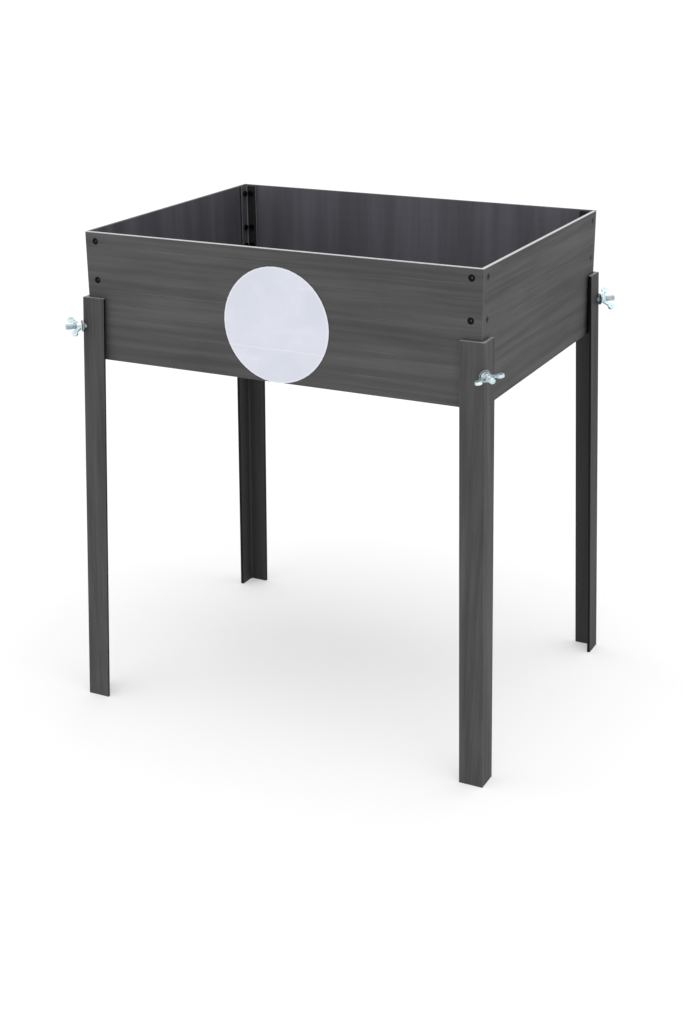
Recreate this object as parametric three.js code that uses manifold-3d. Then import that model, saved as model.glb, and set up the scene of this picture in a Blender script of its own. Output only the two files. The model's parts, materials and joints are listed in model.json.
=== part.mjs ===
// Coal forge: an open steel hearth box on four raked angle-iron legs, each held by one bolt and wing nut.
// Millimetres, +Z up. The origin is on the ground under the middle of the box, with the front at -Y.
import * as THREE from 'three';
import { mergeVertices } from 'three/addons/utils/BufferGeometryUtils.js';
import Module from 'manifold-3d';

const wasm = await Module();
wasm.setup();

// Hearth box
const WIDTH = 600;
const DEPTH = 450;
const WALL_HEIGHT = 184;
const SHEET = 4;
const RIM_HEIGHT = 718;
const BASE_HEIGHT = RIM_HEIGHT - WALL_HEIGHT;
const LEDGE_REACH = 24;
const FOLD_RADIUS = 3;
const CLEARANCE = 0.3;

// Legs, of equal angle iron with level-cut ends
const LEG_HEIGHT = 625;
const LEG_SIZE = 35;
const LEG_THICKNESS = 5;
const LEG_ROOT_RADIUS = 4;
const LEG_TOE_RADIUS = 2;
const LEG_TOP_GAP = 1.5;
const LEG_RAKE = Math.tan(THREE.MathUtils.degToRad(2));

// Angles inside the four corners
const CORNER_SIZE = 20;
const CORNER_THICKNESS = 3;
const CORNER_ROOT_RADIUS = 2;
const CORNER_TOE_RADIUS = 1;
const CORNER_TOP_DROP = 1.5;

// Countersunk screws that join the panels to the corner angles, each with its thin nut on the inside
const SCREW_DROPS = [13, 68, 98];
const SCREW_INSET = 16;
const SCREW_HEAD_RADIUS = 4.6;
const SCREW_HEAD_DEPTH = 2.6;
const SCREW_HEAD_EDGE = 0.5;
const SCREW_RADIUS = 2.5;
const SCREW_SINK = 0.2;
const SCREW_NUT_RADIUS = 4.4;
const SCREW_NUT_HEIGHT = 3.6;

// Leg bolts, washers and wing nuts
const BOLT_DROP = 135;
const BOLT_RADIUS = 4;
const BOLT_HOLE_RADIUS = 4.6;
const BOLT_HEAD_RADIUS = 7.5;
const BOLT_HEAD_HEIGHT = 5.3;
const BOLT_REACH = 26;
const WASHER_RADIUS = 8.5;
const WASHER_THICKNESS = 1.6;
const NUT_BORE_RADIUS = 4.3;
const NUT_HUB_HEIGHT = 8;
const EAR_THICKNESS = 3;

// Floor, grate and air inlet
const FLOOR_THICKNESS = 4;
const FLOOR_HOLE_RADIUS = 40;
const GRATE_RADIUS = 46;
const GRATE_THICKNESS = 8;
const SPIGOT_RADIUS = 38.5;
const SPIGOT_WALL = 5;
const SPIGOT_DEPTH = 3;
const SLOT_WIDTH = 7;
const SLOT_PITCH = 13;
const SLOT_REACH = 34;
const PIPE_RADIUS = 38;
const PIPE_BORE_RADIUS = 34.4;
const PIPE_END_HEIGHT = 480;
const FLANGE_RADIUS = 66;
const FLANGE_THICKNESS = 5;
const FLANGE_SCREW_CIRCLE = 56;
const FLANGE_SCREW_RADIUS = 3;
const FLANGE_SCREW_HEAD_RADIUS = 5.2;

// Round blank badge on the front
const BADGE_RADIUS = 80;
const BADGE_THICKNESS = 1;
const BADGE_OFFSET = 3;
const BADGE_DROP = 103.4;

// Each corner's sides, and how far its wing nut's ears stand turned from level, in degrees
const CORNERS = [
  { name: 'front_left', x: -1, y: -1, earTilt: 25 },
  { name: 'front_right', x: 1, y: -1, earTilt: 12 },
  { name: 'rear_right', x: 1, y: 1, earTilt: -40 },
  { name: 'rear_left', x: -1, y: 1, earTilt: -40 },
];

const MATERIALS = {
  panel: metal(0x575555, 0.55),
  leg: metal(0x4c4c4c, 0.6),
  corner: metal(0x3a3a3e, 0.6),
  screw: metal(0x101010, 0.45),
  zinc: metal(0xc4dfe6, 0.3),
  grate: metal(0x2b2a2a, 0.85),
  badge: new THREE.MeshStandardMaterial({ color: 0xdcdee8, roughness: 0.6, metalness: 0 }),
};

function metal(color, roughness) {
  return new THREE.MeshStandardMaterial({ color, roughness, metalness: 0.9 });
}

// Solids are joined and cut as manifolds, and go back to a geometry at the end.
function toSolid(geometry) {
  const bare = geometry.clone();
  bare.deleteAttribute('normal');
  bare.deleteAttribute('uv');
  const merged = mergeVertices(bare, 1e-4);
  return new wasm.Manifold(new wasm.Mesh({
    numProp: 3,
    vertProperties: merged.getAttribute('position').array,
    triVerts: new Uint32Array(merged.getIndex().array),
  }));
}

function toGeometry(solid) {
  const { vertProperties, triVerts } = solid.getMesh();
  const geometry = new THREE.BufferGeometry();
  geometry.setAttribute('position', new THREE.BufferAttribute(vertProperties, 3));
  geometry.setIndex(new THREE.BufferAttribute(triVerts, 1));
  geometry.computeVertexNormals();
  return geometry;
}

function cut(geometry, cutters) {
  return toGeometry(cutters.reduce((solid, cutter) => solid.subtract(toSolid(cutter)), toSolid(geometry)));
}

function join(geometries) {
  return toGeometry(geometries.map(toSolid).reduce((joined, solid) => joined.add(solid)));
}

// A box given by its lowest and highest corners.
function block(low, high) {
  const size = high.map((value, axis) => value - low[axis]);
  const middle = high.map((value, axis) => (value + low[axis]) / 2);
  return new THREE.BoxGeometry(...size).translate(...middle);
}

// A solid of revolution about +Z. The [radius, height] points rise along the axis or close on themselves.
function turned(points, sides) {
  const profile = points.map(([radius, height]) => new THREE.Vector2(radius, height));
  return new THREE.LatheGeometry(profile, sides).rotateX(Math.PI / 2);
}

function rod(radius, bottom, top, sides) {
  return turned([[0, bottom], [radius, bottom], [radius, top], [0, top]], sides);
}

function ring(outer, inner, bottom, top, sides) {
  return turned([[inner, bottom], [outer, bottom], [outer, top], [inner, top], [inner, bottom]], sides);
}

// Moves a geometry built along +Z so that +Z points along direction, with +X as near as it can be to side.
function aim(geometry, direction, position, side = new THREE.Vector3(0, 0, 1)) {
  const z = direction.clone().normalize();
  const y = new THREE.Vector3().crossVectors(z, side).normalize();
  const x = new THREE.Vector3().crossVectors(y, z);
  return geometry.applyMatrix4(new THREE.Matrix4().makeBasis(x, y, z).setPosition(position));
}

// An equal angle section with its heel at 0, 0 and its flanges along -X and -Y.
function angleShape(size, thickness, rootRadius, toeRadius) {
  const inner = -thickness;
  const shape = new THREE.Shape();
  shape.moveTo(0, 0);
  shape.lineTo(-size, 0);
  shape.absarc(-size + toeRadius, inner + toeRadius, toeRadius, Math.PI, 1.5 * Math.PI, false);
  shape.absarc(inner - rootRadius, inner - rootRadius, rootRadius, Math.PI / 2, 0, true);
  shape.absarc(inner + toeRadius, -size + toeRadius, toeRadius, Math.PI, 1.5 * Math.PI, false);
  shape.lineTo(0, -size);
  return shape;
}

function angleBar(size, thickness, rootRadius, toeRadius, bottom, top) {
  const shape = angleShape(size, thickness, rootRadius, toeRadius);
  const options = { depth: top - bottom, bevelEnabled: false, curveSegments: 3 };
  return new THREE.ExtrudeGeometry(shape, options).translate(0, 0, bottom);
}

// The four corners are alike, so each piece is made for the +X +Y corner and mirrored into place.
const DIAGONAL = new THREE.Vector3(1, 1, 0).normalize();
const BOLT_HEIGHT = RIM_HEIGHT - BOLT_DROP;
const BOX_CORNER = new THREE.Vector3(WIDTH / 2, DEPTH / 2, BOLT_HEIGHT);

function alongBolt(distance) {
  return BOX_CORNER.clone().addScaledVector(DIAGONAL, distance);
}

// How far the heel of a leg stands outside the box along X and along Y at a height.
function heelOffset(height) {
  return LEG_THICKNESS + LEG_TOP_GAP + (LEG_HEIGHT - height) * LEG_RAKE;
}

const HEEL_DISTANCE = Math.SQRT2 * heelOffset(BOLT_HEIGHT);
const SEAT_DISTANCE = Math.SQRT2 * heelOffset(BOLT_HEIGHT - WASHER_RADIUS) + CLEARANCE;
const CORNER_FACE = SHEET + CLEARANCE;
const HEAD_SEAT = -(Math.SQRT2 * (CORNER_FACE + CORNER_THICKNESS) + WASHER_RADIUS + CLEARANCE);

function boltHole() {
  const reach = 40;
  return aim(rod(BOLT_HOLE_RADIUS, -reach, reach, 16), DIAGONAL, BOX_CORNER);
}

// Screws beside one corner, on the outer faces: along -Y on the front or rear, along -X on the sides.
function screwPlaces() {
  const x = WIDTH / 2;
  const y = DEPTH / 2;
  return SCREW_DROPS.flatMap((drop, row) => {
    const z = RIM_HEIGHT - drop;
    return [
      { name: `wide_${row + 1}`, point: [x - SCREW_INSET, y, z], inward: [0, -1, 0] },
      { name: `side_${row + 1}`, point: [x, y - SCREW_INSET, z], inward: [-1, 0, 0] },
    ];
  });
}

// A screw about +Z, with its head sunk in the outer face and its nut against the corner angle.
function panelScrew() {
  const nut = CORNER_FACE + CORNER_THICKNESS + CLEARANCE;
  const end = nut + SCREW_NUT_HEIGHT;
  return turned([
    [0, SCREW_SINK], [SCREW_HEAD_RADIUS, SCREW_SINK], [SCREW_HEAD_RADIUS, SCREW_HEAD_EDGE],
    [SCREW_RADIUS, SCREW_HEAD_DEPTH], [SCREW_RADIUS, nut], [SCREW_NUT_RADIUS, nut],
    [SCREW_NUT_RADIUS, end], [0, end],
  ], 12);
}

// The countersunk hole that a screw sits in, through the panel and the corner angle.
function screwHole() {
  const head = SCREW_HEAD_RADIUS + CLEARANCE;
  const shank = SCREW_RADIUS + CLEARANCE;
  const end = CORNER_FACE + CORNER_THICKNESS + 1;
  return turned([
    [0, -1], [head, -1], [head, SCREW_HEAD_EDGE], [shank, SCREW_HEAD_DEPTH + CLEARANCE],
    [shank, end], [0, end],
  ], 12);
}

function placed(geometry, { point, inward }) {
  return aim(geometry, new THREE.Vector3(...inward), new THREE.Vector3(...point));
}

function mirrored(geometry, corner) {
  const copy = geometry.clone().scale(corner.x, corner.y, 1);
  return corner.x * corner.y < 0 ? flipped(copy) : copy;
}

// Turns each triangle round, after a mirroring has pointed it inwards.
function flipped(geometry) {
  const flat = geometry.index ? geometry.toNonIndexed() : geometry;
  const { array } = flat.getAttribute('position');
  for (let i = 0; i < array.length; i += 9) {
    for (let axis = 0; axis < 3; axis++) {
      const kept = array[i + 3 + axis];
      array[i + 3 + axis] = array[i + 6 + axis];
      array[i + 6 + axis] = kept;
    }
  }
  return flat;
}

// Cutters for the screw holes and bolt holes of the corners that a test picks.
function cornerCutters(isNear) {
  const cutters = [];
  for (const corner of CORNERS.filter(isNear)) {
    cutters.push(mirrored(boltHole(), corner));
    for (const place of screwPlaces()) {
      cutters.push(mirrored(placed(screwHole(), place), corner));
    }
  }
  return cutters;
}

// Front or rear wall: full width, with a ledge folded in at its foot to carry the floor.
function widePanel(side) {
  const outer = DEPTH / 2;
  const shape = new THREE.Shape();
  shape.moveTo(outer, RIM_HEIGHT);
  shape.lineTo(outer - SHEET, RIM_HEIGHT);
  shape.lineTo(outer - SHEET, BASE_HEIGHT + SHEET);
  shape.lineTo(outer - SHEET - LEDGE_REACH, BASE_HEIGHT + SHEET);
  shape.lineTo(outer - SHEET - LEDGE_REACH, BASE_HEIGHT);
  const foldHeight = BASE_HEIGHT + FOLD_RADIUS;
  shape.absarc(outer - FOLD_RADIUS, foldHeight, FOLD_RADIUS, 1.5 * Math.PI, 2 * Math.PI, false);
  const folded = new THREE.ExtrudeGeometry(shape, { depth: WIDTH, bevelEnabled: false, curveSegments: 4 });
  folded.applyMatrix4(new THREE.Matrix4().makeBasis(
    new THREE.Vector3(0, 1, 0),
    new THREE.Vector3(0, 0, 1),
    new THREE.Vector3(1, 0, 0),
  ));
  folded.translate(-WIDTH / 2, 0, 0);
  const sideGap = SHEET + CLEARANCE;
  const low = [WIDTH / 2 - sideGap, outer - SHEET - LEDGE_REACH - 1, BASE_HEIGHT - 1];
  const high = [WIDTH / 2 + 1, outer - SHEET, BASE_HEIGHT + SHEET + 1];
  const notches = [-1, 1].map((x) => mirrored(block(low, high), { x, y: 1 }));
  const panel = mirrored(cut(folded, notches), { x: 1, y: side });
  return cut(panel, cornerCutters((corner) => corner.y === side));
}

// Side wall, held between the front and rear walls.
function sidePanel(side) {
  const y = DEPTH / 2 - SHEET - CLEARANCE;
  const low = [WIDTH / 2 - SHEET, -y, BASE_HEIGHT];
  const high = [WIDTH / 2, y, RIM_HEIGHT];
  const panel = mirrored(block(low, high), { x: side, y: 1 });
  return cut(panel, cornerCutters((corner) => corner.x === side));
}

const FLOOR_BOTTOM = BASE_HEIGHT + SHEET + CLEARANCE;
const FLOOR_TOP = FLOOR_BOTTOM + FLOOR_THICKNESS;
const FLANGE_TOP = FLOOR_BOTTOM - CLEARANCE;

// Places of the four screws that hold the inlet flange under the floor.
function flangeScrewPoints() {
  return CORNERS.map(({ x, y }) => {
    const reach = FLANGE_SCREW_CIRCLE / Math.SQRT2;
    return new THREE.Vector3(x * reach, y * reach, 0);
  });
}

function hearthFloor() {
  const x = WIDTH / 2 - SHEET - CLEARANCE;
  const y = DEPTH / 2 - SHEET - CLEARANCE;
  const plate = block([-x, -y, FLOOR_BOTTOM], [x, y, FLOOR_TOP]);
  const holes = flangeScrewPoints().map(({ x: px, y: py }) => (
    rod(FLANGE_SCREW_RADIUS + CLEARANCE, FLOOR_BOTTOM - 1, FLOOR_TOP + 1, 12).translate(px, py, 0)
  ));
  return cut(plate, [rod(FLOOR_HOLE_RADIUS, FLOOR_BOTTOM - 1, FLOOR_TOP + 1, 40), ...holes]);
}

// Round cast grate over the floor hole, with a spigot that centres it and parallel air slots.
function fireGrate() {
  const bottom = FLOOR_TOP + CLEARANCE;
  const top = bottom + GRATE_THICKNESS;
  const chamfer = 1.5;
  const inner = SPIGOT_RADIUS - SPIGOT_WALL;
  const body = turned([
    [0, bottom], [inner, bottom], [inner, bottom - SPIGOT_DEPTH], [SPIGOT_RADIUS, bottom - SPIGOT_DEPTH],
    [SPIGOT_RADIUS, bottom], [GRATE_RADIUS, bottom], [GRATE_RADIUS, top - chamfer],
    [GRATE_RADIUS - chamfer, top], [0, top],
  ], 40);
  const slots = [-2, -1, 0, 1, 2].map((step) => {
    const x = step * SLOT_PITCH;
    const half = Math.sqrt(SLOT_REACH ** 2 - x ** 2) - SLOT_WIDTH / 2;
    return slotCutter(half, GRATE_THICKNESS + 2).translate(x, 0, bottom - 1);
  });
  return cut(body, slots);
}

// A round-ended slot along Y.
function slotCutter(half, height) {
  const radius = SLOT_WIDTH / 2;
  const shape = new THREE.Shape();
  shape.absarc(0, half - radius, radius, 0, Math.PI, false);
  shape.absarc(0, radius - half, radius, Math.PI, 2 * Math.PI, false);
  return new THREE.ExtrudeGeometry(shape, { depth: height, bevelEnabled: false, curveSegments: 3 });
}

// Air inlet: a tube stub welded to a round flange under the floor.
function airInlet() {
  const bottom = FLANGE_TOP - FLANGE_THICKNESS;
  const body = turned([
    [PIPE_BORE_RADIUS, PIPE_END_HEIGHT], [PIPE_RADIUS, PIPE_END_HEIGHT], [PIPE_RADIUS, bottom],
    [FLANGE_RADIUS, bottom], [FLANGE_RADIUS, FLANGE_TOP], [PIPE_BORE_RADIUS, FLANGE_TOP],
    [PIPE_BORE_RADIUS, PIPE_END_HEIGHT],
  ], 40);
  return cut(body, flangeScrewPoints().map(({ x, y }) => (
    rod(FLANGE_SCREW_RADIUS + CLEARANCE, bottom - 1, FLANGE_TOP + 1, 12).translate(x, y, 0)
  )));
}

// Low domed screw with its head on the floor and its thread through the flange.
function inletScrew(point) {
  const head = FLOOR_TOP + CLEARANCE;
  const end = FLANGE_TOP - FLANGE_THICKNESS - 3;
  const screw = turned([
    [0, end], [FLANGE_SCREW_RADIUS, end], [FLANGE_SCREW_RADIUS, head], [FLANGE_SCREW_HEAD_RADIUS, head],
    [FLANGE_SCREW_HEAD_RADIUS, head + 1], [3.4, head + 2.8], [0, head + 3.3],
  ], 12);
  return screw.translate(point.x, point.y, 0);
}

function cornerAngle(corner) {
  const bottom = FLOOR_TOP + CLEARANCE;
  const top = RIM_HEIGHT - CORNER_TOP_DROP;
  const bar = angleBar(CORNER_SIZE, CORNER_THICKNESS, CORNER_ROOT_RADIUS, CORNER_TOE_RADIUS, bottom, top);
  bar.translate(WIDTH / 2 - CORNER_FACE, DEPTH / 2 - CORNER_FACE, 0);
  const screwHoles = screwPlaces().map((place) => placed(screwHole(), place));
  return mirrored(cut(bar, [boltHole(), ...screwHoles]), corner);
}

// Leg: its heel leans outwards along X and Y as it goes down, and both ends are cut level.
function leg(corner) {
  const bar = angleBar(LEG_SIZE, LEG_THICKNESS, LEG_ROOT_RADIUS, LEG_TOE_RADIUS, 0, LEG_HEIGHT);
  const rake = new THREE.Matrix4().makeShear(0, 0, 0, 0, -LEG_RAKE, -LEG_RAKE);
  bar.applyMatrix4(rake);
  bar.translate(WIDTH / 2 + heelOffset(0), DEPTH / 2 + heelOffset(0), 0);
  return mirrored(cut(bar, [boltHole()]), corner);
}

// Hexagon-headed bolt from inside the corner, out through the heel of the leg.
function legBolt(corner) {
  const seat = HEAD_SEAT - WASHER_THICKNESS - CLEARANCE;
  const tip = HEEL_DISTANCE + BOLT_REACH;
  const head = rod(BOLT_HEAD_RADIUS, seat - BOLT_HEAD_HEIGHT, seat, 6);
  const shank = turned([
    [0, seat - 1], [BOLT_RADIUS, seat - 1], [BOLT_RADIUS, tip - 1], [BOLT_RADIUS - 1, tip], [0, tip],
  ], 16);
  return mirrored(aim(join([head, shank]), DIAGONAL, BOX_CORNER), corner);
}

function washer(corner, distance) {
  const flat = ring(WASHER_RADIUS, BOLT_HOLE_RADIUS, 0, WASHER_THICKNESS, 16);
  return mirrored(aim(flat, DIAGONAL, alongBolt(distance)), corner);
}

// One ear of the wing nut: the outline round a small circle at the hub and a larger one at the tip.
function earShape() {
  const root = { x: 4.4, y: 4.4, radius: 2.8 };
  const tip = { x: 15.4, y: 12.6, radius: 4.9 };
  const heading = Math.atan2(tip.y - root.y, tip.x - root.x);
  const spread = Math.hypot(tip.x - root.x, tip.y - root.y);
  const lean = Math.acos((root.radius - tip.radius) / spread);
  const shape = new THREE.Shape();
  shape.absarc(tip.x, tip.y, tip.radius, heading - lean, heading + lean, false);
  shape.absarc(root.x, root.y, root.radius, heading + lean, heading - lean, false);
  return shape;
}

function ear(side) {
  const options = { depth: EAR_THICKNESS, bevelEnabled: false, curveSegments: 10 };
  const plate = new THREE.ExtrudeGeometry(earShape(), options).translate(0, 0, -EAR_THICKNESS / 2);
  plate.rotateX(Math.PI / 2);
  return side < 0 ? plate.rotateZ(Math.PI) : plate;
}

// Wing nut: a waisted hub on the bolt, with two flat ears that flare away from the leg.
function wingNut(corner) {
  const hub = turned([[0, 0], [6.8, 0], [6.2, 3], [5.6, NUT_HUB_HEIGHT], [0, NUT_HUB_HEIGHT]], 16);
  const bore = rod(NUT_BORE_RADIUS, -1, 25, 16);
  const nut = cut(join([hub, ear(1), ear(-1)]), [bore]);
  const tilt = THREE.MathUtils.degToRad(corner.earTilt);
  const level = new THREE.Vector3(1, -1, 0).normalize();
  const earDirection = level.multiplyScalar(Math.cos(tilt)).setZ(Math.sin(tilt));
  const seat = alongBolt(SEAT_DISTANCE + WASHER_THICKNESS + CLEARANCE);
  return mirrored(aim(nut, DIAGONAL, seat, earDirection), corner);
}

function badge() {
  const face = -DEPTH / 2 - CLEARANCE;
  const disc = rod(BADGE_RADIUS, 0, BADGE_THICKNESS, 48);
  const centre = new THREE.Vector3(BADGE_OFFSET, face, RIM_HEIGHT - BADGE_DROP);
  return aim(disc, new THREE.Vector3(0, -1, 0), centre);
}

function addMesh(group, name, geometry, material) {
  const mesh = new THREE.Mesh(geometry, material.clone());
  mesh.name = name;
  group.add(mesh);
}

function hearthBox() {
  const group = new THREE.Group();
  addMesh(group, 'front_panel', widePanel(-1), MATERIALS.panel);
  addMesh(group, 'rear_panel', widePanel(1), MATERIALS.panel);
  addMesh(group, 'left_panel', sidePanel(-1), MATERIALS.panel);
  addMesh(group, 'right_panel', sidePanel(1), MATERIALS.panel);
  addMesh(group, 'hearth_floor', hearthFloor(), MATERIALS.panel);
  addMesh(group, 'blank_badge', badge(), MATERIALS.badge);
  return group;
}

function airSupply() {
  const group = new THREE.Group();
  addMesh(group, 'fire_grate', fireGrate(), MATERIALS.grate);
  addMesh(group, 'air_inlet', airInlet(), MATERIALS.leg);
  flangeScrewPoints().forEach((point, index) => {
    addMesh(group, `inlet_screw_${index + 1}`, inletScrew(point), MATERIALS.screw);
  });
  return group;
}

// Everything at one corner: the inner angle, its screws, the leg, and the bolt that clamps them.
function cornerAssembly(corner) {
  const group = new THREE.Group();
  addMesh(group, `corner_angle_${corner.name}`, cornerAngle(corner), MATERIALS.corner);
  addMesh(group, `leg_${corner.name}`, leg(corner), MATERIALS.leg);
  addMesh(group, `leg_bolt_${corner.name}`, legBolt(corner), MATERIALS.zinc);
  const underHead = washer(corner, HEAD_SEAT - WASHER_THICKNESS);
  addMesh(group, `head_washer_${corner.name}`, underHead, MATERIALS.zinc);
  addMesh(group, `nut_washer_${corner.name}`, washer(corner, SEAT_DISTANCE), MATERIALS.zinc);
  addMesh(group, `wing_nut_${corner.name}`, wingNut(corner), MATERIALS.zinc);
  for (const place of screwPlaces()) {
    const screw = mirrored(placed(panelScrew(), place), corner);
    addMesh(group, `screw_${corner.name}_${place.name}`, screw, MATERIALS.screw);
  }
  return group;
}

const forge = new THREE.Group();
forge.name = 'coal_forge';
forge.add(hearthBox(), airSupply(), ...CORNERS.map(cornerAssembly));

export default forge;
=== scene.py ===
"""Coal forge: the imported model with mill-scale steel, zinc and badge finishes and detailed fasteners."""
import json
import math
import random

import bmesh
import bpy
from mathutils import Matrix, Vector


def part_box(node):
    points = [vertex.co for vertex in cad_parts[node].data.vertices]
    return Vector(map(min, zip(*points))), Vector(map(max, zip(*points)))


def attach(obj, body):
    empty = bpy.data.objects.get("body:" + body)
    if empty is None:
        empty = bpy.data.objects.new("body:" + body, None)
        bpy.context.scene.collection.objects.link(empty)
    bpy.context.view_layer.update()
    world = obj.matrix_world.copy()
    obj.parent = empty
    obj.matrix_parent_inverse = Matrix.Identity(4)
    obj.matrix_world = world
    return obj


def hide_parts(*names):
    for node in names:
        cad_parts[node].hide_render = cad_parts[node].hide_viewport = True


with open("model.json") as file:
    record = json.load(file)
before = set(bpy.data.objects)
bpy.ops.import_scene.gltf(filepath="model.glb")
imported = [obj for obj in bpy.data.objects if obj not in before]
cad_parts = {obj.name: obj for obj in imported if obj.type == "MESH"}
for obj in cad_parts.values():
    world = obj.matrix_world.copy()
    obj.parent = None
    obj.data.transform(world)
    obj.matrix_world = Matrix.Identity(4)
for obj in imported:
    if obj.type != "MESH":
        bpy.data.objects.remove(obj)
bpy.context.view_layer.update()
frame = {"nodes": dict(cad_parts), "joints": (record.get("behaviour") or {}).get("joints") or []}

MM = 0.001
RANDOM = random.Random(11)
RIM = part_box("front_panel")[1].z
DIAGONAL = 0.7071
CORNERS = {"front_left": (-1, -1), "front_right": (1, -1), "rear_right": (1, 1), "rear_left": (-1, 1)}

# Camera, aimed near the forge's axis; places in metres
AIM = Vector((-0.0111, -0.0056, 0.2676))
DISTANCE = 2.4219
AZIMUTH = math.radians(26.705)
ELEVATION = math.radians(20.932)
ROLL = math.radians(-0.458)
LENS = 55.08
SENSOR = 36.0

# Leg bolt (M8) and its wing nut, in millimetres
BOLT_RADIUS = 4.0
THREAD_PITCH = 1.25
THREAD_DEPTH = 0.65
THREAD_LENGTH = 42.0
HEAD_HEIGHT = 5.3
HEAD_ACROSS_FLATS = 13.0
NUT_BORE = 4.25
WASHER_HALF = 0.8
GAP = 0.3

# Countersunk panel screws (M5) with their nuts, in millimetres
SCREW_HEAD_RADIUS = 4.6
SCREW_SINK = 0.2
SCREW_HEAD_DEPTH = 2.6
SCREW_RADIUS = 2.5
SOCKET_FLATS = 3.1
SOCKET_DEPTH = 1.6
SCREW_NUT_RADIUS = 4.6
SCREW_NUT_HEIGHT = 3.4
CAD_NUT_HEIGHT = 3.6

THREAD_ROWS = 8

# Wing nut's ears in their own plane, as (distance from the axis, height), in millimetres
EAR_ROOT = Vector((4.4, 4.4))
EAR_LOBE = Vector((15.4, 12.6))
LOBE_INNER = EAR_LOBE - Vector((0.9, 0.6))
ARM_ROOT_RADIUS = 2.9
ARM_TIP_RADIUS = 2.3
ARM_HALF_THICKNESS = 1.5
LOBE_INNER_RADIUS = 4.3
LOBE_RADIUS = 4.9
LOBE_HALF_THICKNESS = 2.2
NUT_VOXEL = 0.35

# Button-head screws of the air inlet, in millimetres
BUTTON_RADIUS = 5.1
BUTTON_HEIGHT = 3.2
BUTTON_FOOT = 0.35
BUTTON_SHANK = 2.9
BUTTON_SOCKET_FLATS = 3.0
BUTTON_SOCKET_DEPTH = 1.7
DOME_STEP = math.radians(12)
DOME_TURN = math.radians(72)

# Legs, in metres; the painted shade on each leg's outward side face is chosen for the look and isn't known
# of the real forge
LEG_FLANGE = 0.035
LEG_RAKE = math.tan(math.radians(2))
LEG_SIDE_PAINTED_SHADE = {"front_left": 1.0, "front_right": 0.82, "rear_right": 0.52, "rear_left": 1.0}

STEEL_METALLIC = 0.25
STEEL_ROUGHNESS = 0.55
SHARP = math.radians(32)
FLOOR_SIZE = 30
SUN_HEIGHT = 3
SUN_ANGLE = math.radians(50)
WORLD_LIGHT = 0.85
OVERHEAD_LIGHT = 0.9
OVERHEAD_SIDE = Vector((0.12, -0.1, 1.0))
FLOOR_GLOW = 0.37


# ---------------------------------------------------------------- materials

class Graph:
    """The nodes of one material. A value given to a node is a number, a colour or another node's socket."""

    def __init__(self, name):
        self.material = bpy.data.materials.new(name)
        self.material.use_nodes = True
        self.tree = self.material.node_tree
        self.tree.nodes.clear()
        output = self.tree.nodes.new("ShaderNodeOutputMaterial")
        self.shader = self.tree.nodes.new("ShaderNodeBsdfPrincipled")
        self.tree.links.new(self.shader.outputs[0], output.inputs[0])
        self.place = self.node("ShaderNodeTexCoord").outputs["Object"]
        self.normal = self.node("ShaderNodeNewGeometry").outputs["Normal"]

    def node(self, kind, **settings):
        made = self.tree.nodes.new(kind)
        for key, value in settings.items():
            setattr(made, key, value)
        return made

    def feed(self, socket, value):
        if isinstance(value, bpy.types.NodeSocket):
            self.tree.links.new(value, socket)
        else:
            socket.default_value = value

    def set(self, name, value):
        self.feed(self.shader.inputs[name], value)

    def noise(self, scale, detail=4.0, stretch=(1, 1, 1), shift=0.0, rough=0.55):
        mapping = self.node("ShaderNodeMapping")
        self.feed(mapping.inputs["Vector"], self.place)
        mapping.inputs["Scale"].default_value = stretch
        mapping.inputs["Location"].default_value = (shift, 1.7 * shift, 0.6 * shift)
        made = self.node("ShaderNodeTexNoise")
        self.feed(made.inputs["Vector"], mapping.outputs[0])
        made.inputs["Scale"].default_value = scale
        made.inputs["Detail"].default_value = detail
        made.inputs["Roughness"].default_value = rough
        return made.outputs["Fac"]

    def span(self, value, low, high, to_low=0.0, to_high=1.0):
        """value from low..high to to_low..to_high, smooth and clamped."""
        made = self.node("ShaderNodeMapRange", interpolation_type="SMOOTHSTEP")
        self.feed(made.inputs["Value"], value)
        made.inputs["From Min"].default_value = low
        made.inputs["From Max"].default_value = high
        made.inputs["To Min"].default_value = to_low
        made.inputs["To Max"].default_value = to_high
        return made.outputs["Result"]

    def math(self, operation, a, b=0.0):
        made = self.node("ShaderNodeMath", operation=operation)
        self.feed(made.inputs[0], a)
        self.feed(made.inputs[1], b)
        return made.outputs[0]

    def mix(self, factor, a, b, blend="MIX"):
        made = self.node("ShaderNodeMix", data_type="RGBA", blend_type=blend)
        self.feed(made.inputs["Factor"], factor)
        self.feed(made.inputs[6], a)
        self.feed(made.inputs[7], b)
        return made.outputs[2]

    def part(self, vector, axis):
        made = self.node("ShaderNodeSeparateXYZ")
        self.feed(made.inputs[0], vector)
        return made.outputs[axis]

    def facing(self, direction):
        """How far the surface faces a fixed direction: 1 straight at it, -1 straight away."""
        made = self.node("ShaderNodeVectorMath", operation="DOT_PRODUCT")
        self.feed(made.inputs[0], self.normal)
        made.inputs[1].default_value = direction
        return made.outputs["Value"]

    def edges(self, width):
        """1 on the object's outer and inner edges, 0 on its flat faces."""
        rounded = self.node("ShaderNodeBevel", samples=4)
        rounded.inputs["Radius"].default_value = width
        made = self.node("ShaderNodeVectorMath", operation="DOT_PRODUCT")
        self.feed(made.inputs[0], rounded.outputs[0])
        self.feed(made.inputs[1], self.normal)
        return self.span(made.outputs["Value"], 0.8, 0.995, 1.0, 0.0)

    def bump(self, height, distance, strength=1.0, under=None):
        made = self.node("ShaderNodeBump")
        self.feed(made.inputs["Height"], height)
        made.inputs["Distance"].default_value = distance
        made.inputs["Strength"].default_value = strength
        if under is not None:
            self.feed(made.inputs["Normal"], under)
        return made.outputs[0]


def grey(value, tint=(1.0, 1.0, 1.0)):
    return (value * tint[0], value * tint[1], value * tint[2], 1.0)


def along(axis, fine=1.0, long=0.03):
    """Stretch for streaks that run along X, Y or Z."""
    return tuple(long if i == "XYZ".index(axis) else fine for i in range(3))


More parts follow.
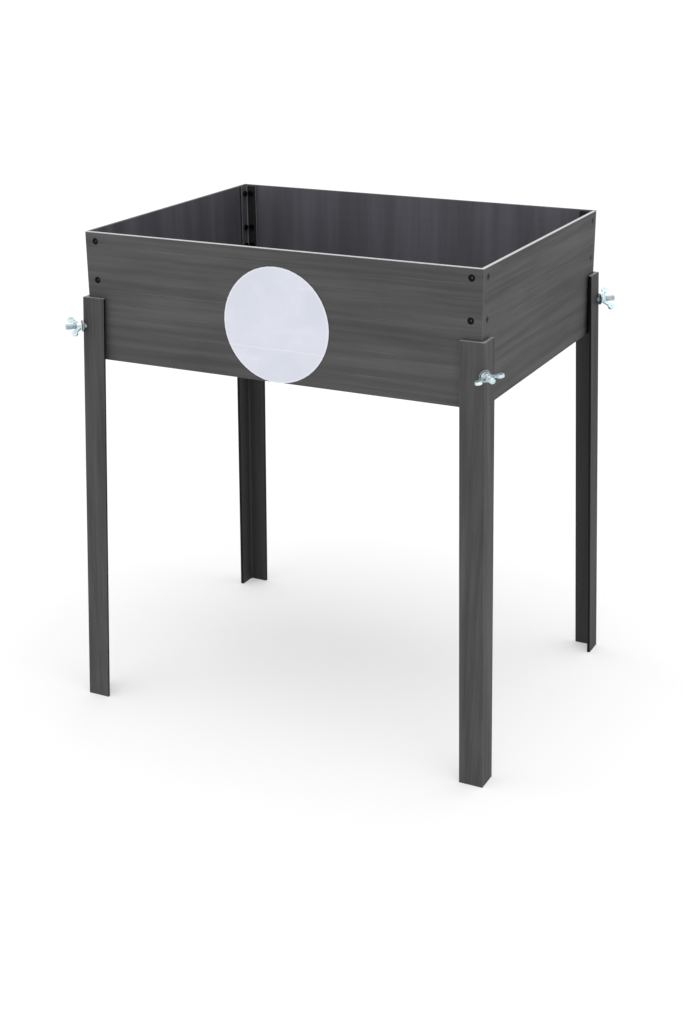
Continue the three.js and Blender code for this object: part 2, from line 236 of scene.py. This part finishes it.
def mill_steel(name, tone, tint, axis, shift, streak=0.5, wear=0.5):
    """Steel with its mill scale on: long rolling streaks, soft mottling, fine scratches and bare edges."""
    g = Graph(name)
    streaks = g.noise(110, 5, along(axis), shift, 0.62)
    bands = g.noise(26, 3, along(axis, long=0.08), shift + 3)
    clouds = g.noise(7, 4, (1, 1, 1), shift + 5)
    smudges = g.noise(24, 5, (1, 1, 1), shift + 9, 0.6)
    grain = g.noise(900, 2, (1, 1, 1), shift)
    scratches = g.noise(420, 2, along(axis, long=0.012), shift + 2)
    dark = grey(tone * 0.72, tint)
    light = grey(tone * 1.3, tint)
    level = g.math("ADD", g.math("MULTIPLY", streaks, streak), g.math("MULTIPLY", bands, 0.3))
    level = g.math("ADD", level, g.math("MULTIPLY", clouds, 0.7 - streak))
    colour = g.mix(g.span(level, 0.3, 0.7), dark, light)
    colour = g.mix(g.span(smudges, 0.62, 0.78, 0.0, 0.35), colour, grey(tone * 0.62, tint))
    colour = g.mix(g.span(scratches, 0.66, 0.76, 0.0, 0.4), colour, grey(tone * 1.9, tint))
    edge = g.math("MULTIPLY", g.edges(0.0012), g.span(g.noise(45, 4, shift=shift), 0.35, 0.65, 0.25, 1.0))
    bare = g.math("MULTIPLY", edge, wear)
    colour = g.mix(bare, colour, grey(0.34, (1.0, 0.98, 1.0)))
    g.set("Metallic", STEEL_METALLIC)
    g.set("Specular IOR Level", 0.25)
    scaled = g.span(level, 0.3, 0.7, STEEL_ROUGHNESS + 0.12, STEEL_ROUGHNESS)
    g.set("Roughness", g.math("SUBTRACT", scaled, g.math("MULTIPLY", bare, 0.15)))
    under = g.bump(grain, 0.00012, 0.5)
    g.set("Normal", g.bump(g.math("ADD", streaks, g.math("MULTIPLY", scratches, 0.5)), 0.0002, 0.35, under))
    return g, colour


def panel_material(name, outward, axis, shift, rim, inside, tone=0.086, tint=(1.0, 0.97, 0.975)):
    """A hearth wall: bluish scale on its inner face, its brightness given per wall by inside as painted
    light and shade, and a sawn, bare rim along the top edge, lit up by rim as a painted highlight.
    """
    g, colour = mill_steel(name, tone, tint, axis, shift, wear=0.15)
    # inner face: bluish scale whose brightness, set per wall by inside, is painted light and shade
    inner = g.span(g.facing(outward), 0.3, -0.3)
    drip = g.noise(30, 4, along("Z", long=0.06), shift + 4)
    blue = (0.97, 0.94, 1.1)
    scale = g.mix(g.span(drip, 0.35, 0.7), grey(inside * 0.8, blue), grey(inside * 1.2, blue))
    colour = g.mix(g.math("MULTIPLY", inner, 0.85), colour, scale)
    # the bare sawn rim is real, but its brightness is partly a painted highlight: rim is full on the front
    # and right walls and low on the left and rear
    top = g.math("MULTIPLY", g.span(g.part(g.place, 2), RIM - 0.0011, RIM - 0.0004), rim)
    sawn = g.mix(g.noise(300, 3, shift=shift), grey(0.45), grey(0.8))
    g.set("Base Color", g.mix(top, colour, sawn))
    return g.material


def plain_steel(name, tone, tint, axis, shift, **settings):
    g, colour = mill_steel(name, tone, tint, axis, shift, **settings)
    g.set("Base Color", colour)
    return g.material


def leg_material(name, corner, shift):
    """A leg: long drawn streaks, painted shade inside the angle and on its outward side face, its flange end
    faces painted black as shadow, and a sawn top.
    """
    g, colour = mill_steel(name, 0.07, (1.0, 0.985, 0.985), "Z", shift, streak=0.6, wear=0.4)
    sx, sy = CORNERS[corner]
    low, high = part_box("leg_" + corner)
    # painted shade: each leg's outward side face darkened by its own factor
    side = g.span(g.facing((sx, 0, 0)), 0.5, 0.8)
    colour = g.mix(side, colour, grey(LEG_SIDE_PAINTED_SHADE[corner]), "MULTIPLY")
    # painted shade: the faces inside the angle, under and against the hearth, take a streaky near-black tone
    inner = g.span(g.facing((-DIAGONAL * sx, -DIAGONAL * sy, 0)), 0.3, 0.6)
    scale = g.mix(g.noise(60, 4, along("Z"), shift + 6), grey(0.016), grey(0.05))
    colour = g.mix(g.math("MULTIPLY", inner, 0.9), colour, scale)
    # painted shadow: each flange's end face, where it stands off the panel, is painted near black
    lean = g.math("MULTIPLY", g.part(g.place, 2), LEG_RAKE)
    for axis, sign in ((0, sx), (1, sy)):
        foot = high[axis] if sign > 0 else -low[axis]
        toe = foot - LEG_FLANGE
        reach = g.math("ADD", g.math("MULTIPLY", g.part(g.place, axis), sign), lean)
        across = [0.0, 0.0, 0.0]
        across[axis] = -sign
        toe_painted_shadow = g.span(reach, toe + 0.0005, toe + 0.0015, 1.0, 0.0)
        edge = g.math("MULTIPLY", toe_painted_shadow, g.span(g.facing(across), 0.5, 0.8))
        colour = g.mix(edge, colour, grey(0.004))
    near_top = g.span(g.part(g.place, 2), high.z - 0.001, high.z - 0.0004)
    cut = g.math("MULTIPLY", near_top, g.span(g.facing((0, 0, 1)), 0.5, 0.8))
    g.set("Base Color", g.mix(cut, colour, grey(0.3)))
    return g.material


def corner_material(name, corner, shift):
    """A corner angle inside the hearth: painted shade on its flange along the front and rear walls, its
    flange on the side wall lighter, and a painted highlight down its root.
    """
    g, colour = mill_steel(name, 0.03, (1.0, 1.0, 1.06), "Z", shift, wear=0.3)
    sx, sy = CORNERS[corner]
    # painted light and shade: the flange on the side wall is lighter than the dark one on the front or rear
    # wall
    side = g.span(g.facing((-sx, 0, 0)), 0.85, 0.97)
    colour = g.mix(side, colour, grey(0.11, (0.97, 0.94, 1.1)))
    # painted highlight: a light line down the root fillet
    root = g.span(g.facing((-DIAGONAL * sx, -DIAGONAL * sy, 0)), 0.85, 0.95)
    g.set("Base Color", g.mix(g.math("MULTIPLY", root, 0.8), colour, grey(0.3)))
    return g.material


def cast_iron():
    """Sand-cast iron: a coarse grain with patches of rust and rubbed edges."""
    g = Graph("cast_iron")
    sand = g.noise(520, 6, rough=0.7)
    patches = g.noise(40, 5)
    colour = g.mix(g.span(sand, 0.35, 0.65), grey(0.018), grey(0.05, (1.0, 0.95, 0.9)))
    colour = g.mix(g.span(patches, 0.55, 0.75, 0.0, 0.6), colour, (0.075, 0.042, 0.028, 1.0))
    colour = g.mix(g.math("MULTIPLY", g.edges(0.001), 0.35), colour, grey(0.2))
    g.set("Base Color", colour)
    g.set("Metallic", 0.3)
    g.set("Roughness", g.span(patches, 0.3, 0.7, 0.6, 0.85))
    g.set("Normal", g.bump(sand, 0.0006, 0.8))
    return g.material


def black_oxide(name, tone):
    """Blackened screw steel, rubbed a little bare on its edges."""
    g = Graph(name)
    cloud = g.noise(700, 4)
    colour = g.mix(g.span(cloud, 0.35, 0.65), grey(tone * 0.6), grey(tone * 1.5))
    colour = g.mix(g.math("MULTIPLY", g.edges(0.0003), 0.08), colour, grey(0.12))
    g.set("Base Color", colour)
    g.set("Metallic", 0.5)
    g.set("Specular IOR Level", 0.15)
    g.set("Roughness", g.span(cloud, 0.3, 0.7, 0.35, 0.55))
    g.set("Normal", g.bump(g.noise(2500, 2), 0.00004, 0.5))
    return g.material


def zinc(name, low, high, edge):
    """Zinc plate with a cool tint, dulled in patches, painted shade in its recesses and worn along the
    edges.
    """
    g = Graph(name)
    cloud = g.noise(160, 4)
    grain = g.noise(1800, 3)
    colour = g.mix(g.span(cloud, 0.3, 0.7), low, high)
    colour = g.mix(g.span(grain, 0.6, 0.8, 0.0, 0.3), colour, (0.4, 0.52, 0.56, 1.0))
    # painted shade: ambient occlusion darkens the plating to a dark teal in its recesses
    recess_painted_shade = g.node("ShaderNodeAmbientOcclusion", samples=6)
    recess_painted_shade.inputs["Distance"].default_value = 0.006
    colour = g.mix(g.span(recess_painted_shade.outputs["AO"], 0.45, 0.95, 0.85, 0.0), colour, (0.13, 0.2, 0.22, 1.0))
    colour = g.mix(g.math("MULTIPLY", g.edges(0.0004), edge), colour, (0.95, 0.97, 0.98, 1.0))
    g.set("Base Color", colour)
    g.set("Metallic", 0.75)
    g.set("Roughness", g.span(cloud, 0.3, 0.7, 0.24, 0.4))
    g.set("Normal", g.bump(grain, 0.00006, 0.4))
    return g.material


def badge_material(centre, radius):
    """Matt pale lacquer on thin sheet, with a paler edge, a crease and a few specks."""
    g = Graph("badge_lacquer")
    cloud = g.noise(14, 5)
    specks = g.noise(260, 2)
    rubs = g.noise(60, 4, along("X", long=0.2), 4)
    colour = g.mix(g.span(cloud, 0.3, 0.7), (0.675, 0.7, 0.785, 1.0), (0.74, 0.76, 0.85, 1.0))
    colour = g.mix(g.span(rubs, 0.6, 0.75, 0.0, 0.35), colour, (0.82, 0.82, 0.86, 1.0))
    colour = g.mix(g.span(specks, 0.73, 0.77, 0.0, 0.55), colour, (0.36, 0.34, 0.36, 1.0))
    offset = g.node("ShaderNodeVectorMath", operation="DISTANCE")
    g.feed(offset.inputs[0], g.place)
    offset.inputs[1].default_value = centre
    rim = g.span(offset.outputs["Value"], radius - 0.003, radius - 0.001, 0.0, 0.6)
    colour = g.mix(rim, colour, (0.86, 0.86, 0.9, 1.0))
    wave = g.math("MULTIPLY", g.math("SUBTRACT", g.noise(9, 2), 0.5), 0.01)
    height = g.math("ADD", g.part(g.place, 2), wave)
    fold = g.math("ABSOLUTE", g.math("SUBTRACT", height, centre[2] - 0.42 * radius))
    crease = g.span(fold, 0.0, 0.0012, 0.5, 0.0)
    g.set("Base Color", g.mix(crease, colour, (0.88, 0.88, 0.9, 1.0)))
    g.set("Roughness", g.span(cloud, 0.3, 0.7, 0.5, 0.65))
    g.set("Normal", g.bump(g.math("ADD", g.noise(700, 3), g.math("MULTIPLY", crease, 2.0)), 0.00008, 0.5))
    return g.material


def pale_floor():
    g = Graph("pale_floor")
    g.set("Base Color", g.mix(g.noise(2, 3), grey(0.61), grey(0.63)))
    g.set("Roughness", 0.9)
    g.set("Specular IOR Level", 0.0)
    g.set("Emission Color", grey(1.0))
    g.set("Emission Strength", FLOOR_GLOW)
    return g.material


# ---------------------------------------------------------------- mesh code

def ring_of(bm, radius, z, sides=48):
    """A closed ring of points; radius and z are numbers or functions of the angle."""
    made = []
    for step in range(sides):
        angle = 2 * math.pi * step / sides
        r = radius(angle) if callable(radius) else radius
        h = z(angle) if callable(z) else z
        made.append(bm.verts.new((r * math.cos(angle), r * math.sin(angle), h)))
    return made


def lathe(bm, profile, sides=48):
    """A closed body about +Z from (radius, z) pairs, each ending face a fan on the axis."""
    rings = [ring_of(bm, radius, z, sides) for radius, z in profile]
    for low, high in zip(rings, rings[1:]):
        for i in range(sides):
            j = (i + 1) % sides
            bm.faces.new((low[i], low[j], high[j], high[i]))
    for ring, end in ((rings[0], -1), (rings[-1], 1)):
        middle = sum((v.co for v in ring), Vector()) / sides
        tip = bm.verts.new((0, 0, middle.z))
        for i in range(sides):
            j = (i + 1) % sides
            corners = (ring[i], ring[j], tip) if end > 0 else (ring[j], ring[i], tip)
            bm.faces.new(corners)


def hexagon(across_flats):
    """Radius of a hexagon at each angle."""
    def radius(angle):
        local = (angle + math.pi / 6) % (math.pi / 3) - math.pi / 6
        return across_flats / 2 / math.cos(local)
    return radius


def trimmed(across_flats, end, fall):
    """Height of a hexagon's end face where a cone trims its corners."""
    outline = hexagon(across_flats)

    def height(angle):
        return end - fall * (outline(angle) - across_flats / 2)
    return height


def to_mesh(bm, name, materials, sharp=SHARP):
    """A mesh in metres from one built in millimetres, smooth but for its sharp edges."""
    bmesh.ops.recalc_face_normals(bm, faces=bm.faces)
    bmesh.ops.scale(bm, vec=(MM, MM, MM), verts=bm.verts)
    mesh = bpy.data.meshes.new(name)
    bm.to_mesh(mesh)
    bm.free()
    for material in materials:
        mesh.materials.append(material)
    mesh.shade_smooth()
    mesh.set_sharp_from_angle(angle=sharp)
    return mesh


def add_piece(name, mesh, matrix, body, slot, *nodes):
    piece = bpy.data.objects.new(name, mesh)
    bpy.context.scene.collection.objects.link(piece)
    piece.matrix_world = matrix
    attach(piece, body)
    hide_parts(*nodes)


def looking(direction, origin, side):
    """A frame at origin with +Z along direction and +X as near as it can be to side."""
    z = Vector(direction).normalized()
    x = (Vector(side) - z * z.dot(Vector(side))).normalized()
    matrix = Matrix((x, z.cross(x), z)).transposed().to_4x4()
    matrix.translation = origin
    return matrix


def socket_profile(across_flats, face, depth):
    """From the floor of a hexagon socket up to its softened mouth; depth is along +Z."""
    key = hexagon(across_flats)

    def mouth(angle):
        return key(angle) + 0.22
    return [(key, face + depth), (key, face + 0.22), (mouth, face)]


def panel_screw_mesh(nut_start, materials):
    """Countersunk socket screw along +Z from the panel's face, with its hexagon nut inside the hearth."""
    bm = bmesh.new()
    flats = 2 * SCREW_NUT_RADIUS * math.cos(math.pi / 6)
    nut = hexagon(flats)
    nut_end = nut_start + SCREW_NUT_HEIGHT
    tip = nut_end + 0.2
    profile = socket_profile(SOCKET_FLATS, SCREW_SINK, SOCKET_DEPTH) + [
        (SCREW_HEAD_RADIUS - 0.2, SCREW_SINK),
        (SCREW_HEAD_RADIUS, SCREW_SINK + 0.15),
        (SCREW_HEAD_RADIUS, SCREW_SINK + 0.35),
        (SCREW_RADIUS, SCREW_HEAD_DEPTH),
        (SCREW_RADIUS, nut_start),
        (flats / 2 * 0.96, nut_start),
        (nut, trimmed(flats, nut_start + 0.1, -0.55)),
        (nut, trimmed(flats, nut_end - 0.1, 0.55)),
        (flats / 2 * 0.96, nut_end),
        (SCREW_RADIUS + 0.5, nut_end),
        (SCREW_RADIUS + 0.1, nut_end - 0.4),
        (SCREW_RADIUS - 0.1, nut_end - 0.4),
        (SCREW_RADIUS - 0.1, tip - 0.3),
        (SCREW_RADIUS - 0.5, tip),
    ]
    lathe(bm, profile)
    # the socket's faces take the second material, a painted highlight
    for face in bm.faces:
        middle = face.calc_center_median()
        if middle.z < SCREW_SINK + SOCKET_DEPTH + 0.01 and middle.xy.length < SOCKET_FLATS / 2:
            face.material_index = 1
    return to_mesh(bm, "panel_screw", materials)


def inlet_screw_mesh(length, materials):
    """Button-head socket screw, its seat at 0 and its dome towards +Z."""
    bm = bmesh.new()
    key = hexagon(BUTTON_SOCKET_FLATS)

    def socket_floor(angle):
        return key(angle) - 0.05
    profile = [
        (BUTTON_SHANK - 0.7, -length),
        (BUTTON_SHANK, 0.8 - length),
        (BUTTON_SHANK, 0.0),
        (BUTTON_RADIUS - 0.15, 0.0),
        (BUTTON_RADIUS, 0.15),
    ]
    for step in range(1, 6):
        turn = DOME_STEP * step
        rise = (BUTTON_HEIGHT - BUTTON_FOOT) * math.sin(turn) / math.sin(DOME_TURN)
        profile.append((BUTTON_RADIUS * math.cos(turn), BUTTON_FOOT + rise))
    profile += [
        (key(math.pi / 6) + 0.15, BUTTON_HEIGHT),
        (key, BUTTON_HEIGHT - 0.15),
        (socket_floor, BUTTON_HEIGHT - BUTTON_SOCKET_DEPTH),
    ]
    lathe(bm, profile)
    return to_mesh(bm, "inlet_screw", materials)


def bolt_mesh(length, materials):
    """Hexagon-head bolt: the head's end at 0, the shank and its rolled thread out to +Z."""
    bm = bmesh.new()
    outline = hexagon(HEAD_ACROSS_FLATS)
    crown = HEAD_ACROSS_FLATS / 2 * 0.94
    lathe(bm, [
        (crown, 0.0),
        (outline, trimmed(HEAD_ACROSS_FLATS, 0.25, -0.5)),
        (outline, HEAD_HEIGHT - 0.4),
        (crown, HEAD_HEIGHT - 0.4),
        (crown, HEAD_HEIGHT),
        (BOLT_RADIUS + 0.3, HEAD_HEIGHT),
        (BOLT_RADIUS, HEAD_HEIGHT + 0.4),
        (BOLT_RADIUS, length - THREAD_LENGTH),
        (BOLT_RADIUS - THREAD_DEPTH - 0.1, length - THREAD_LENGTH + 0.6),
    ], sides=36)
    start = length - THREAD_LENGTH + 0.2
    rows = int((length - start) / THREAD_PITCH * THREAD_ROWS)
    rings = []
    for row in range(rows + 1):
        z = start + (length - start) * row / rows

        def thread(angle, z=z):
            phase = (z / THREAD_PITCH - angle / (2 * math.pi)) % 1.0
            crest = min(1.0, max(0.0, 1.75 - 3.5 * abs(phase - 0.5)))
            cone = BOLT_RADIUS - 1.0 + (length - z) * 0.9
            run_in = BOLT_RADIUS - THREAD_DEPTH + (z - start) * 0.6
            return min(BOLT_RADIUS - THREAD_DEPTH * (1 - crest), cone, run_in)
        rings.append((thread, z))
    lathe(bm, rings, sides=36)
    return to_mesh(bm, "leg_bolt", materials, math.radians(50))


def stadium(root, root_radius, tip, tip_radius, steps=14):
    """Outline round two circles, as (distance from the axis, height)."""
    heading = math.atan2(tip.y - root.y, tip.x - root.x)
    lean = math.acos((root_radius - tip_radius) / (tip - root).length)
    points = []
    for step in range(steps + 1):
        angle = heading - lean + 2 * lean * step / steps
        points.append(tip + tip_radius * Vector((math.cos(angle), math.sin(angle))))
    for step in range(steps + 1):
        angle = heading + lean + (2 * math.pi - 2 * lean) * step / steps
        points.append(root + root_radius * Vector((math.cos(angle), math.sin(angle))))
    return points


def add_slab(bm, outline, side, half_thickness):
    """An outline in the X-Z plane, given its thickness across it."""
    faces = []
    for half in (-1, 1):
        across = side * half * half_thickness
        faces.append([bm.verts.new((side * point.x, across, point.y)) for point in outline])
    count = len(outline)
    for i in range(count):
        j = (i + 1) % count
        bm.faces.new((faces[0][i], faces[0][j], faces[1][j], faces[1][i]))
    bm.faces.new(list(reversed(faces[0])))
    bm.faces.new(faces[1])


def add_ear(bm, side):
    """One ear: a narrow arm from the hub into a thick round lobe."""
    arm = stadium(EAR_ROOT, ARM_ROOT_RADIUS, EAR_LOBE, ARM_TIP_RADIUS)
    add_slab(bm, arm, side, ARM_HALF_THICKNESS)
    lobe = stadium(LOBE_INNER, LOBE_INNER_RADIUS, EAR_LOBE, LOBE_RADIUS)
    add_slab(bm, lobe, side, LOBE_HALF_THICKNESS)


def applied(mesh, setups):
    """The mesh after a few modifiers, each given as its type and settings."""
    holder = bpy.data.objects.new("holder", mesh)
    bpy.context.scene.collection.objects.link(holder)
    for kind, settings in setups:
        modifier = holder.modifiers.new(kind, kind)
        for key, value in settings.items():
            setattr(modifier, key, value)
    shaped = bpy.data.meshes.new_from_object(holder.evaluated_get(bpy.context.evaluated_depsgraph_get()))
    bpy.data.objects.remove(holder)
    return shaped


def wing_nut_mesh(materials):
    """Cast wing nut, its seat at 0: a waisted hub and two ears run together by remeshing, then bored."""
    bm = bmesh.new()
    hub = [(6.3, 0.0), (6.7, 0.4), (6.7, 1.0), (6.1, 3.0), (5.7, 5.5), (5.5, 7.4), (5.0, 8.0), (4.0, 8.1)]
    lathe(bm, hub)
    for side in (-1, 1):
        add_ear(bm, side)
    bmesh.ops.recalc_face_normals(bm, faces=bm.faces)
    rough = bpy.data.meshes.new("nut_rough")
    bm.to_mesh(rough)
    bm.free()
    blend = applied(rough, [
        ("REMESH", {"mode": "VOXEL", "voxel_size": NUT_VOXEL}),
        ("SMOOTH", {"factor": 0.6, "iterations": 10}),
    ])
    bore = bmesh.new()
    lathe(bore, [(NUT_BORE + 1.2, -2.0), (NUT_BORE + 1.0, -0.2), (NUT_BORE, 0.8), (NUT_BORE, 30.0)])
    bmesh.ops.recalc_face_normals(bore, faces=bore.faces)
    drill_mesh = bpy.data.meshes.new("nut_drill")
    bore.to_mesh(drill_mesh)
    bore.free()
    drill = bpy.data.objects.new("nut_drill", drill_mesh)
    bpy.context.scene.collection.objects.link(drill)
    bored = applied(blend, [("BOOLEAN", {"operation": "DIFFERENCE", "object": drill, "solver": "EXACT"})])
    bpy.data.objects.remove(drill)
    out = bmesh.new()
    out.from_mesh(bored)
    for face in out.faces:
        face.material_index = 0
    return to_mesh(out, "wing_nut", materials, math.radians(40))


# ---------------------------------------------------------------- pieces

def middle(node):
    low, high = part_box(node)
    return (low + high) / 2


def joint_of(corner):
    return next(j for j in frame["joints"] if j["name"] == "nut_turn_" + corner)


def ear_direction(corner, on_axis, axis):
    """Across the bolt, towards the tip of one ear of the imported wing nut."""
    spokes = []
    for vertex in frame["nodes"]["wing_nut_" + corner].data.vertices:
        offset = vertex.co - on_axis
        spokes.append(offset - axis * offset.dot(axis))
    longest = max(spokes, key=lambda spoke: spoke.length)
    reach = longest.length - 0.0001
    return sum((spoke for spoke in spokes if spoke.length > reach and spoke.dot(longest) > 0), Vector())


def nut_start(corner):
    """Where the screws' nuts begin: just inside the corner angle, from its panel's outer face."""
    low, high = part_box("screw_" + corner + "_wide_1")
    return (high.y - low.y) / MM + SCREW_SINK - CAD_NUT_HEIGHT


def dress(name, material, width=0.0004):
    """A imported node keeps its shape, with softened edges and a finish."""
    node = frame["nodes"][name]
    if "custom_normal" in node.data.attributes:
        node.data.attributes.remove(node.data.attributes["custom_normal"])
    node.data.shade_smooth()
    for slot in node.material_slots:
        slot.material = material
    weld = node.modifiers.new("Weld", "WELD")
    weld.merge_threshold = 0.00001
    bevel = node.modifiers.new("Bevel", "BEVEL")
    bevel.width = width
    bevel.segments = 2
    bevel.limit_method = "ANGLE"
    bevel.angle_limit = math.radians(35)
    bevel.harden_normals = True


def dress_nodes():
    """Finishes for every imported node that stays; gives back the zinc for the fasteners."""
    # per wall, inside paints light and shade on the inner face and rim paints a highlight on the sawn top
    # edge
    front = panel_material("front_scale_and_painted_light", (0, -1, 0), "X", shift=0.0, rim=1.0, inside=0.11)
    rear = panel_material("rear_scale_and_painted_light", (0, 1, 0), "X", shift=4.0, rim=0.12, inside=0.172)
    left = panel_material("left_scale_and_painted_light", (-1, 0, 0), "Y", shift=8.0, rim=0.12, inside=0.125)
    # the right wall's lower tone and tint are painted shade, darkening a side that the lamps light more than
    # the front
    right = panel_material(
        "right_scale_and_painted_light", (1, 0, 0), "Y", shift=12.0, rim=1.0, inside=0.11, tone=0.064, tint=(1.0, 0.965, 1.01),
    )
    dress("front_panel", front)
    dress("rear_panel", rear)
    dress("left_panel", left)
    dress("right_panel", right)
    dress("hearth_floor", plain_steel("floor_scale", 0.07, (0.97, 0.95, 1.08), "X", 16.0, wear=0.3))
    inlet = plain_steel("inlet_scale", 0.085, (1.0, 1.0, 1.0), "Z", 20.0)
    dress("air_inlet", inlet, 0.0006)
    dress("fire_grate", cast_iron(), 0.0007)
    centre = middle("blank_badge")
    low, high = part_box("blank_badge")
    dress("blank_badge", badge_material(centre, (high.x - low.x) / 2), 0.0003)
    plate = zinc("bright_zinc", (0.5, 0.68, 0.73, 1.0), (0.86, 0.96, 0.98, 1.0), 0.4)
    dull = zinc("dull_zinc", (0.26, 0.25, 0.32, 1.0), (0.42, 0.4, 0.5, 1.0), 0.15)
    for index, corner in enumerate(CORNERS):
        leg = leg_material("leg_scale_and_painted_shade_" + corner, corner, 30.0 + 4 * index)
        dress("leg_" + corner, leg, 0.0006)
        angle = corner_material("corner_scale_and_painted_light_" + corner, corner, 50.0 + 4 * index)
        dress("corner_angle_" + corner, angle, 0.0004)
        dress("nut_washer_" + corner, dull, 0.0003)
        dress("head_washer_" + corner, plate, 0.0003)
    return plate


def random_turn():
    """A fastener stops anywhere in a sixth of a turn."""
    return Matrix.Rotation(RANDOM.uniform(0, math.pi / 3), 4, "Z")


def add_leg_bolt(corner, wing_nut, plate):
    """The bolt through the heel of a leg, and the wing nut that clamps it."""
    axis = Vector(joint_of(corner)["axis"]).normalized()
    on_axis = middle("nut_washer_" + corner)
    places = [(v.co - on_axis).dot(axis) for v in frame["nodes"]["leg_bolt_" + corner].data.vertices]
    bolt = bolt_mesh((max(places) - min(places)) / MM, [plate])
    turned = looking(axis, on_axis + axis * min(places), (0, 0, 1)) @ random_turn()
    add_piece("bolt_" + corner, bolt, turned, "forge", "zinc", "leg_bolt_" + corner)
    seat = on_axis + axis * (WASHER_HALF + GAP) * MM
    clamped = looking(axis, seat, ear_direction(corner, on_axis, axis))
    add_piece("cast_wing_nut_" + corner, wing_nut, clamped, "nut_" + corner, "zinc", "wing_nut_" + corner)


def add_panel_screws(corner, screw):
    sx, sy = CORNERS[corner]
    for kind, inward in (("wide", Vector((0, -sy, 0))), ("side", Vector((-sx, 0, 0)))):
        for row in (1, 2, 3):
            node = "screw_" + corner + "_" + kind + "_" + str(row)
            low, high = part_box(node)
            half_length = (high - low).dot(Vector(map(abs, inward))) / 2
            face = middle(node) - inward * (half_length + SCREW_SINK * MM)
            turned = looking(inward, face, (0, 0, 1)) @ random_turn()
            add_piece("socket_" + node, screw, turned, "forge", "black_screw", node)


def add_inlet_screws(black):
    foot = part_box("inlet_screw_1")[0].z
    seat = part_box("hearth_floor")[1].z + GAP * MM
    screw = inlet_screw_mesh((seat - foot) / MM, [black])
    for index in (1, 2, 3, 4):
        node = "inlet_screw_" + str(index)
        place = middle(node)
        place.z = seat
        turned = Matrix.Translation(place) @ random_turn()
        add_piece("button_" + node, screw, turned, "forge", "black_screw", node)


def build_fasteners(plate):
    """Bolts and wing nuts at the legs, screws round the hearth and under the grate."""
    black = black_oxide("black_screw_steel", 0.004)
    # painted highlight: the hexagon socket takes the blackened steel in a far lighter tone
    socket_painted_highlight = black_oxide("painted_socket_highlight", 0.12)
    wing_nut = wing_nut_mesh([plate])
    screw = panel_screw_mesh(nut_start("front_left"), [black, socket_painted_highlight])
    for corner in CORNERS:
        add_leg_bolt(corner, wing_nut, plate)
        add_panel_screws(corner, screw)
    add_inlet_screws(black)


# ---------------------------------------------------------------- studio

def build_camera():
    right = Vector((math.cos(AZIMUTH), math.sin(AZIMUTH), 0))
    level = Vector((math.sin(AZIMUTH), -math.cos(AZIMUTH), 0))
    back = level * math.cos(ELEVATION) + Vector((0, 0, math.sin(ELEVATION)))
    up = back.cross(right)
    rolled_right = right * math.cos(ROLL) + up * math.sin(ROLL)
    rolled_up = up * math.cos(ROLL) - right * math.sin(ROLL)
    matrix = Matrix((rolled_right, rolled_up, back)).transposed().to_4x4()
    matrix.translation = AIM + back * DISTANCE
    camera = bpy.data.objects.new("camera", bpy.data.cameras.new("camera"))
    camera.data.lens = LENS
    camera.data.sensor_width = SENSOR
    camera.matrix_world = matrix
    bpy.context.scene.collection.objects.link(camera)
    bpy.context.scene.camera = camera


def build_studio():
    bm = bmesh.new()
    bmesh.ops.create_grid(bm, x_segments=8, y_segments=8, size=FLOOR_SIZE)
    mesh = bpy.data.meshes.new("studio_floor")
    bm.to_mesh(mesh)
    bm.free()
    mesh.materials.append(pale_floor())
    floor = bpy.data.objects.new("studio_floor", mesh)
    bpy.context.scene.collection.objects.link(floor)
    world = bpy.data.worlds.new("studio")
    world.use_nodes = True
    background = world.node_tree.nodes["Background"]
    background.inputs["Color"].default_value = (1.0, 1.0, 1.0, 1.0)
    background.inputs["Strength"].default_value = WORLD_LIGHT
    bpy.context.scene.world = world
    sun = bpy.data.lights.new("overhead", "SUN")
    sun.energy = OVERHEAD_LIGHT
    sun.angle = SUN_ANGLE
    holder = bpy.data.objects.new("overhead", sun)
    bpy.context.scene.collection.objects.link(holder)
    holder.matrix_world = looking(OVERHEAD_SIDE, Vector((0, 0, SUN_HEIGHT)), (1, 0, 0))
    view = bpy.context.scene.view_settings
    view.view_transform = "Standard"
    view.look = "None"


build_camera()
build_studio()
build_fasteners(dress_nodes())
